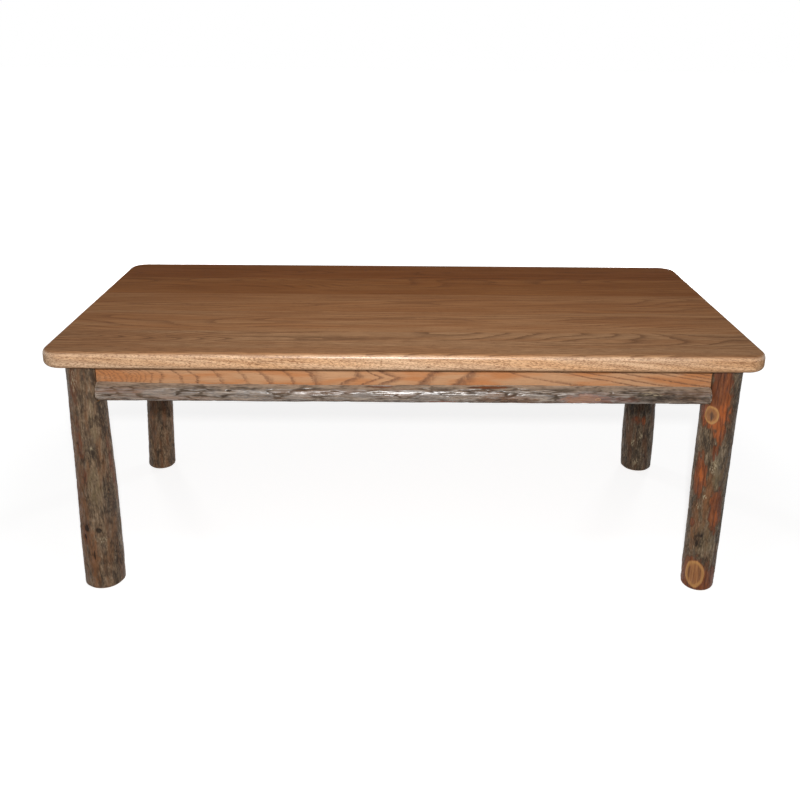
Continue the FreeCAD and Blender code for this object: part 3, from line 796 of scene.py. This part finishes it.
def front_apron_finish(name):
    """The front apron's oak, whose rings follow the curves listed above."""
    finish = new_finish(name)
    place = object_place(finish)
    x, _, z = parts_of(finish, place)
    length = APRON_FRONT_HIGH.x - APRON_FRONT_LOW.x
    height = APRON_FRONT_HIGH.z - APRON_FRONT_LOW.z
    shown_middle = APRON_FRONT_LOW.z + SHOWN_MIDDLE * height
    jag = speckle(finish, place, (0.010, 0.010, 0.0026), 1.0, 2.0, 0.6)
    bend = speckle(finish, place, (0.060, 0.060, 0.022), 2.0, 1.0, 0.5)
    along = maths(finish, "DIVIDE", maths(finish, "SUBTRACT", x, APRON_FRONT_LOW.x), length)
    up = maths(finish, "DIVIDE", maths(finish, "SUBTRACT", z, shown_middle), length)
    lean = maths(finish, "SUBTRACT", curve(finish, along, RING_LEAN), 0.5)
    lean = times(finish, lean, LEAN_REACH)
    point = times(finish, curve(finish, along, RING_POINT), POINT_REACH)
    crossed = maths(finish, "SUBTRACT", along, times(finish, lean, up))
    crossed = maths(finish, "MULTIPLY_ADD", point, maths(finish, "ABSOLUTE", up), crossed)
    crossed = maths(finish, "MULTIPLY_ADD", maths(finish, "SUBTRACT", jag, 0.5), JAG_REACH, crossed)
    crossed = maths(finish, "MULTIPLY_ADD", maths(finish, "SUBTRACT", bend, 0.5), BEND_REACH, crossed)
    last_ring = len(RING_PLACES) - 1
    rings_crossed = [(spot / length, number / last_ring) for number, spot in enumerate(RING_PLACES)]
    ring = times(finish, curve(finish, crossed, rings_crossed), last_ring)
    ring = maths(finish, "FRACT", ring)
    through = maths(finish, "DIVIDE", ring, curve(finish, along, LINE_SHARE))
    line = spread(finish, through, 0.28, 1.0, 1.0, 0.0)
    line = times(finish, spread(finish, through, 0.0, 0.24), line)
    dashes = speckle(finish, place, (0.0042, 0.0042, 0.0080), 6.0, 2.0, 0.6)
    line = times(finish, line, spread(finish, dashes, 0.30, 0.56, 0.45, 1.0))
    tone = speckle(finish, place, (0.090, 0.090, 0.016), 3.0, 2.0, 0.5)
    streak = speckle(finish, place, (0.050, 0.0016, 0.0016), 4.0, 3.0, 0.6)
    pore = pores(finish, place, 0.008, 0.0010, 5.0)
    colour = layer(finish, spread(finish, tone, 0.36, 0.66), APRON_LIGHT, APRON_WARM)
    colour = layer(finish, spread(finish, streak, 0.42, 0.72, 0.0, 0.25), colour, APRON_LINE)
    line_share = times(finish, line, curve(finish, along, LINE_DEPTH))
    colour = layer(finish, line_share, colour, APRON_LINE)
    pore_share = maths(finish, "MULTIPLY_ADD", line, 0.5, 0.16)
    pore_share = times(finish, pore, pore_share)
    colour = layer(finish, pore_share, colour, APRON_PORE)
    surface(finish, "Base Color", colour)
    dull = spread(finish, streak, 0.3, 0.7, APRON_ROUGH, APRON_ROUGH + 0.10)
    surface(finish, "Roughness", dull)
    surface(finish, "Specular IOR Level", OAK_SHINE)
    raise_surface(finish, times(finish, pore_share, -1.0), APRON_RELIEF)
    return finish


def dress(node, finish):
    """Gives a node of the frame its finish in every slot."""
    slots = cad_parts[node].material_slots
    for slot in slots:
        slot.material = finish


dress("apron_front", front_apron_finish("apron_front_oak"))
# The other aprons: a point on the pith, its fall and its swing in degrees, and a seed for the grain.
ACROSS_TABLE = 90.0
PLAIN_APRONS = {
    "apron_back": ((0.0, 0.300, 0.395), 1.6, 2.4, 18.0),
    "apron_left": ((-0.610, 0.0, 0.420), 1.2, ACROSS_TABLE + 3.0, 27.0),
    "apron_right": ((0.605, 0.0, 0.390), -1.5, ACROSS_TABLE - 2.6, 36.0),
}
for apron, (pith, fall, swing, seed) in PLAIN_APRONS.items():
    turn = (0.0, math.radians(fall), math.radians(swing))
    rings = (APRON_RING, APRON_WANDER)
    tones = (APRON_LIGHT, APRON_WARM, APRON_LINE)
    name = apron + "_oak"
    dress(apron, oak_finish(name, pith, turn, rings, tones, seed, APRON_LINES, APRON_ROUGH, OAK_SHINE))

# The four log rails are thin poles split in half with the bark left on. Their flat backs lie on the lower
# half of the aprons, screwed on from inside, and their sawn ends butt against the flats of the legs.
RAIL_FACETS = 104
LONG_RAIL_ROWS = (26, 26)
SHORT_RAIL_ROWS = (17, 17)
RAIL_CLEARANCE = 0.0015
RAIL_PLATE = (0.0046, 0.040)
RAIL_SWELL = 0.0006
RAIL_FLAKE = 0.00012
RAIL_STRETCH = 0.95
RAIL_PATCHY = 0.45
RAIL_VARNISH = (1.0, 0.37, 0.034, 0.36, 1.85)
RAIL_DUST = 1.0
RAIL_RELIEF = 0.0004
RAIL_BARK = [(66, 53, 44), (114, 97, 82), (147, 128, 111), (122, 90, 66), (166, 119, 85)]
SQUARE_FACING = 0.9
# Marks on a rail, by kind: bearing (0 faces out, 90 up), place along it, half its width along the bark and
# half its length. The upper side of every rail is painted lighter, as painted light, and its under side is
# painted darker, as painted shade, and dull.
# Painted light: a pale tint along the upper side of each rail, where light falls from above.
PAINTED_LIGHT_SIDE = (84, 0.0, 0.0160, 3.0)
# Painted shade: a dark tint along the under side of each rail, which also takes the varnish's gleam down
# there.
PAINTED_SHADE_DULL_SIDE = (-72, 0.0, 0.0120, 3.0)
RAIL_MARKS = {
    "log_rail_front": {
        "peel": [
            (-28, 0.316, 0.015, 0.05), (-52, 0.062, 0.005, 0.026), (62, 0.146, 0.004, 0.04),
            (66, -0.04, 0.003, 0.026),
        ],
        "ember": [(-28, 0.306, 0.015, 0.044)],
        "knot": [(-20, 0.333, 0.0034, 0.005)],
        "warm": [(-30, 0.18, 0.011, 0.06), (30, -0.48, 0.01, 0.05)],
        "russet": [(-20, 0.38, 0.008, 0.03)],
        "shade": [(-10, 0.46, 0.016, 0.09), (-34, 0.18, 0.008, 0.07)],
        "pale": [(15, 0.425, 0.006, 0.02)],
        "hole": [(25, -0.3, 0.002, 0.006)],
    },
    "log_rail_back": {
        "peel": [(20, -0.22, 0.008, 0.06), (-30, 0.26, 0.007, 0.045)],
        "knot": [(10, 0.06, 0.007, 0.009)],
    },
    "log_rail_left": {
        "peel": [(-15, 0.08, 0.0075, 0.045)],
        "hole": [(20, -0.11, 0.003, 0.005)],
    },
    "log_rail_right": {
        "peel": [(30, -0.07, 0.008, 0.05), (-40, 0.12, 0.006, 0.03)],
    },
}
for seed, rail_name in enumerate(RAIL_MARKS, start=11):
    low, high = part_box(rail_name)
    apron_low, apron_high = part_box(rail_name.replace("log_rail", "apron"))
    axis = 0 if high.x - low.x > high.y - low.y else 1
    out_axis = 1 - axis
    side = 1.0 if (low + high)[out_axis] > 0 else -1.0
    back_plane = apron_high[out_axis] if side > 0 else apron_low[out_axis]
    middle = (low + high) / 2
    middle[out_axis] = back_plane
    rail = open_tube(
        rail_name + "_bark",
        RAIL_FACETS,
        (high.z - low.z) / 2 + RAIL_CLEARANCE,
        high[axis] - low[axis],
        middle,
        (0.0, math.radians(90.0), 0.0) if axis == 0 else (math.radians(90.0), 0.0, 0.0),
        LONG_RAIL_ROWS if axis == 0 else SHORT_RAIL_ROWS,
    )
    inward = Vector((0.0, 0.0, 0.0))
    inward[out_axis] = -side
    plane = {"plane_co": middle, "plane_no": inward, "clear_outer": True}
    edit_parts(rail, "vertices", any_part, bpy.ops.mesh.bisect, threshold=SAME_PLACE, **plane)
    points = rail.data.vertices
    cuts = []
    for cut_axis, level in ((axis, low[axis]), (axis, high[axis]), (out_axis, back_plane)):
        cut = {point.index for point in points if abs(point.co[cut_axis] - level) < SAME_PLACE}
        cuts.append((cut_axis, level, cut))
    fit_to(rail, rail_name)
    points = rail.data.vertices
    for cut_axis, level, cut in cuts:
        for edge in rail.data.edges:
            first, second = edge.vertices
            if (first in cut) != (second in cut):
                rim, beside = (first, second) if first in cut else (second, first)
                points[rim].co = points[beside].co
                points[rim].co[cut_axis] = level
    back_rim = cuts[-1][2]

    def on_back(edge):
        ends = [points[i].co for i in edge.vertices]
        along_rail = abs(ends[0][axis] - ends[1][axis]) > SAME_PLACE
        return along_rail and all(i in back_rim for i in edge.vertices)

    edit_parts(rail, "edges", on_back, bpy.ops.mesh.bridge_edge_loops)
    close_end(rail, axis, low[axis])
    close_end(rail, axis, high[axis])
    edit_parts(rail, "polygons", any_part, bpy.ops.mesh.normals_make_consistent, inside=False)
    from_middle = points_of(rail) - np.array(middle)
    places = np.stack((side * from_middle[:, out_axis], from_middle[:, 2], from_middle[:, axis]), axis=1)
    bearings = np.degrees(np.arctan2(places[:, 1], np.maximum(places[:, 0], 0.0)))
    from_middle[:, axis] = 0.0
    outward = unit_rows(from_middle)
    mark_sawn(rail, lambda face: face.normal[out_axis] * side < -SQUARE_FACING)
    still = mark_sawn(rail, lambda face: abs(face.normal[axis]) > SQUARE_FACING)
    radius = (high.z - low.z) / 2
    # Every rail gets painted light on its upper side and painted shade on its under side.
    marks = {"painted_light": [PAINTED_LIGHT_SIDE], **RAIL_MARKS[rail_name]}
    marks["shade"] = [PAINTED_SHADE_DULL_SIDE, *marks.get("shade", [])]
    work_bark(
        rail, places, bearings, radius, outward, still, marks, seed, RAIL_PLATE, RAIL_SWELL, RAIL_FLAKE
    )
    tones = [stain(*tone) for tone in RAIL_BARK]
    rail_bark = bark_finish(
        rail_name + "_bark", tones, seed, RAIL_STRETCH, RAIL_PATCHY, RAIL_VARNISH, RAIL_DUST, RAIL_RELIEF
    )
    finish_log(rail, rail_name, rail_bark, sawn_log_wood)

# Corner blocks of plain sawn hardwood are screwed across each corner, inside the aprons, and wooden buttons
# of the same wood hook into the aprons' grooves and hold the top down.
BLOCK_TONES = (stain(214, 180, 134), stain(198, 158, 108), stain(158, 116, 74))
BLOCK_RINGS = (0.0035, 0.02)
BLOCK_LINES = 0.40
BLOCK_ROUGH = 0.62
BLOCK_SHINE = 0.20
BLOCK_PITH = Vector((0.0, 0.0, 0.05))
for seed, corner in enumerate(("front_left", "front_right", "back_left", "back_right"), start=31):
    node = "corner_block_" + corner
    low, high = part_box(node)
    middle = (low + high) / 2
    turn = (0.0, 0.0, math.radians(45.0 if middle.x * middle.y < 0 else -45.0))
    block_wood = oak_finish(
        node + "_wood", middle + BLOCK_PITH, turn, BLOCK_RINGS, BLOCK_TONES, 3.0 * seed, BLOCK_LINES,
        BLOCK_ROUGH, BLOCK_SHINE,
    )
    dress(node, block_wood)
BUTTON_PITH = (0.0, 0.0, 0.46)
BUTTON_RINGS = (0.0030, 0.02)
BUTTON_ROUGH = 0.60
button_wood = oak_finish(
    "button_wood", BUTTON_PITH, (0.0, 0.0, 0.0), BUTTON_RINGS, BLOCK_TONES, 120.0, BLOCK_LINES, BUTTON_ROUGH,
    BLOCK_SHINE,
)
dress("top_buttons", button_wood)

# The hanger bolts, washers, nuts and wood screws are zinc-plated steel, dulled and faintly mottled. They
# keep the shapes of their solids.
DULLED_ZINC = stain(150, 148, 142)
ZINC_RELIEF = 0.00005


def zinc_finish(name, tint, rough):
    """Zinc plating with soft dull spots and fine scuffs."""
    finish = new_finish(name)
    place = object_place(finish)
    mottle = speckle(finish, place, (0.003, 0.003, 0.003), 1.0, 3.0, 0.6)
    scuffs = speckle(finish, place, (0.0006, 0.0006, 0.0006), 2.0, 2.0, 0.5)
    zinc = layer(finish, spread(finish, mottle, 0.35, 0.7), tint, DULLED_ZINC)
    surface(finish, "Base Color", zinc)
    surface(finish, "Metallic", 1.0)
    surface(finish, "Roughness", spread(finish, scuffs, 0.3, 0.7, rough, rough + 0.18))
    raise_surface(finish, scuffs, ZINC_RELIEF)
    return finish


bright_zinc = zinc_finish("bright_zinc", stain(196, 197, 198), 0.28)
dull_zinc = zinc_finish("dull_zinc", stain(178, 176, 168), 0.38)
for node in ("hanger_bolts", "bolt_nuts", "bolt_washers"):
    dress(node, bright_zinc)
for node in ("corner_block_screws", "rail_screws", "button_screws"):
    dress(node, dull_zinc)

# The top is five oak boards glued edge to edge, planed flush, rounded at the corners and along the edge,
# stained brown and varnished, dull above and with a soft gleam on the edge. Each has its own pith and tone.
# Lighter tones for the edges of the top than for its faces: painted light where the edges face the main
# lamp, while the underside keeps the boards' darker tones as painted shade.
LIT_EDGE_TONES = (stain(225, 190, 155), stain(215, 169, 126), stain(122, 79, 51))
BOARD_RINGS = (0.0060, 0.07)
BOARD_ROUGH = 0.88
# For each board, front to back: its pith's place aside from its middle and above its face, the pith's fall
# to the right and its swing in degrees, how strong its ring lines are, and its light, warm and dark tones.
BOARD_GRAIN = [
    (0.029, -0.045, 4.0, 0.6, 0.66, (stain(176, 133, 95), stain(165, 118, 80), stain(96, 64, 42))),
    (0.020, -0.060, -0.9, 1.2, 0.48, (stain(179, 131, 90), stain(168, 116, 75), stain(98, 63, 40))),
    (-0.010, -0.045, 0.7, 1.6, 0.42, (stain(178, 126, 83), stain(166, 112, 70), stain(98, 62, 38))),
    (0.035, -0.070, -1.1, -0.8, 0.40, (stain(163, 107, 62), stain(150, 94, 51), stain(91, 54, 30))),
    (-0.020, -0.050, 0.8, 1.1, 0.40, (stain(151, 94, 52), stain(139, 83, 42), stain(85, 49, 26))),
]
for number, (aside, deep, fall, swing, lines, tones) in enumerate(BOARD_GRAIN, start=1):
    node = "top_board_%d" % number
    low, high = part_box(node)
    pith = Vector((0.0, (low.y + high.y) / 2 + aside, high.z + deep))
    turn = (0.0, math.radians(fall), math.radians(swing))
    board_oak = oak_finish(
        node + "_oak", pith, turn, BOARD_RINGS, tones, 13.0 * number, lines, BOARD_ROUGH, OAK_SHINE,
        LIT_EDGE_TONES,
    )
    dress(node, board_oak)

# The floor is a plain pale sheet, and the room beyond it is white. Both read as white to the lens, and the
# floor still takes the table's shadow, because it glows a little less near the table.
FILL_LIGHT = 0.14
FLOOR_SIZE = 40.0
FLOOR_COLOUR = (0.55, 0.55, 0.55, 1.0)
NEAR_GLOW = 0.74
NEAR_REACH = 0.7
FAR_REACH = 2.2


def seen_share(owner):
    """1 for rays that reach the lens straight, mirrored or through glass, and 0 for other light."""
    path = new_node(owner, "LightPath")
    seen = maths(owner, "MAXIMUM", path.outputs["Is Camera Ray"], path.outputs["Is Glossy Ray"])
    return maths(owner, "MAXIMUM", seen, path.outputs["Is Transmission Ray"])


bpy.ops.object.select_all(action="DESELECT")
bpy.ops.mesh.primitive_plane_add(size=FLOOR_SIZE, location=(0.0, 0.0, 0.0))
floor = bpy.context.active_object
floor.name = "floor"
floor_finish = new_finish("pale_floor")
floor_nodes = floor_finish.node_tree.nodes
glow = new_node(floor_finish, "Emission")
both = new_node(floor_finish, "AddShader")
away = vector_maths(floor_finish, "LENGTH", object_place(floor_finish), output="Value")
level = spread(floor_finish, away, NEAR_REACH, FAR_REACH, NEAR_GLOW, 1.0)
feed(floor_finish, glow.inputs["Strength"], maths(floor_finish, "MULTIPLY", seen_share(floor_finish), level))
surface(floor_finish, "Base Color", FLOOR_COLOUR)
surface(floor_finish, "Roughness", 1.0)
surface(floor_finish, "Specular IOR Level", 0.0)
feed(floor_finish, both.inputs[0], floor_nodes["Principled BSDF"].outputs["BSDF"])
feed(floor_finish, both.inputs[1], glow.outputs["Emission"])
feed(floor_finish, floor_nodes["Material Output"].inputs["Surface"], both.outputs["Shader"])
floor.data.materials.append(floor_finish)

room = bpy.data.worlds.new("white_room")
room.use_nodes = True
bpy.context.scene.world = room
background = room.node_tree.nodes["Background"]
feed(room, background.inputs["Color"], (1.0, 1.0, 1.0, 1.0))
feed(room, background.inputs["Strength"], maths(room, "MAXIMUM", seen_share(room), FILL_LIGHT))

# Four lamps: a small main one a little above the lens, which lights the upright faces, a soft one over the
# front of the top, so that the top falls off towards the back, and two soft low ones behind, which light the
# sides and the back. Each has a place, an aim, a size and a power.
LAMPS = {
    "front_lamp": ((0.0, -1.80, 1.10), (0.0, 0.0, 0.38), 0.06, 26.2),
    "top_lamp": ((0.0, -0.60, 1.35), (0.0, -0.10, 0.47), 0.40, 3.5),
    "back_left_lamp": ((-1.50, 2.30, 0.38), (0.0, 0.0, 0.35), 0.40, 20.0),
    "back_right_lamp": ((1.50, 2.30, 0.38), (0.0, 0.0, 0.35), 0.40, 20.0),
}
for title, (lamp_place, lamp_aim, lamp_size, lamp_power) in LAMPS.items():
    lamp_data = bpy.data.lights.new(title, "AREA")
    lamp_data.shape = "SQUARE"
    lamp_data.size = lamp_size
    lamp_data.energy = lamp_power
    lamp = bpy.data.objects.new(title, lamp_data)
    lamp.location = lamp_place
    lamp.rotation_euler = (Vector(lamp_aim) - Vector(lamp_place)).to_track_quat("-Z", "Y").to_euler()
    bpy.context.scene.collection.objects.link(lamp)

# The camera stands in front of the table, a metre above the floor, and looks down on it, level but for a
# trace of roll. The shift of its lens sets where the table lies in the picture.
FRAME_PIXELS = 800.0
FOCAL_PIXELS = 937.144
AXIS_COLUMN = 400.7
AXIS_ROW = 340.317
CAMERA_PLACE = Vector((-0.012776, -1.76516, 0.988123))
PITCH = math.radians(18.648)
YAW = math.radians(0.24)
ROLL = math.radians(0.469)
ahead = Vector((math.sin(YAW) * math.cos(PITCH), math.cos(YAW) * math.cos(PITCH), -math.sin(PITCH)))
right = ahead.cross(Vector((0.0, 0.0, 1.0))).normalized()
above = right.cross(ahead)
rolled_right = math.cos(ROLL) * right + math.sin(ROLL) * above
rolled_above = math.cos(ROLL) * above - math.sin(ROLL) * right
camera_data = bpy.data.cameras.new("camera")
camera_data.sensor_width = 36.0
camera_data.lens = camera_data.sensor_width * FOCAL_PIXELS / FRAME_PIXELS
camera_data.shift_x = (FRAME_PIXELS / 2 - AXIS_COLUMN) / FRAME_PIXELS
camera_data.shift_y = (AXIS_ROW - FRAME_PIXELS / 2) / FRAME_PIXELS
camera = bpy.data.objects.new("camera", camera_data)
camera.matrix_world = Matrix((rolled_right, rolled_above, -ahead)).transposed().to_4x4()
camera.location = CAMERA_PLACE
bpy.context.scene.collection.objects.link(camera)
bpy.context.scene.camera = camera
bpy.context.scene.view_settings.view_transform = "Standard"
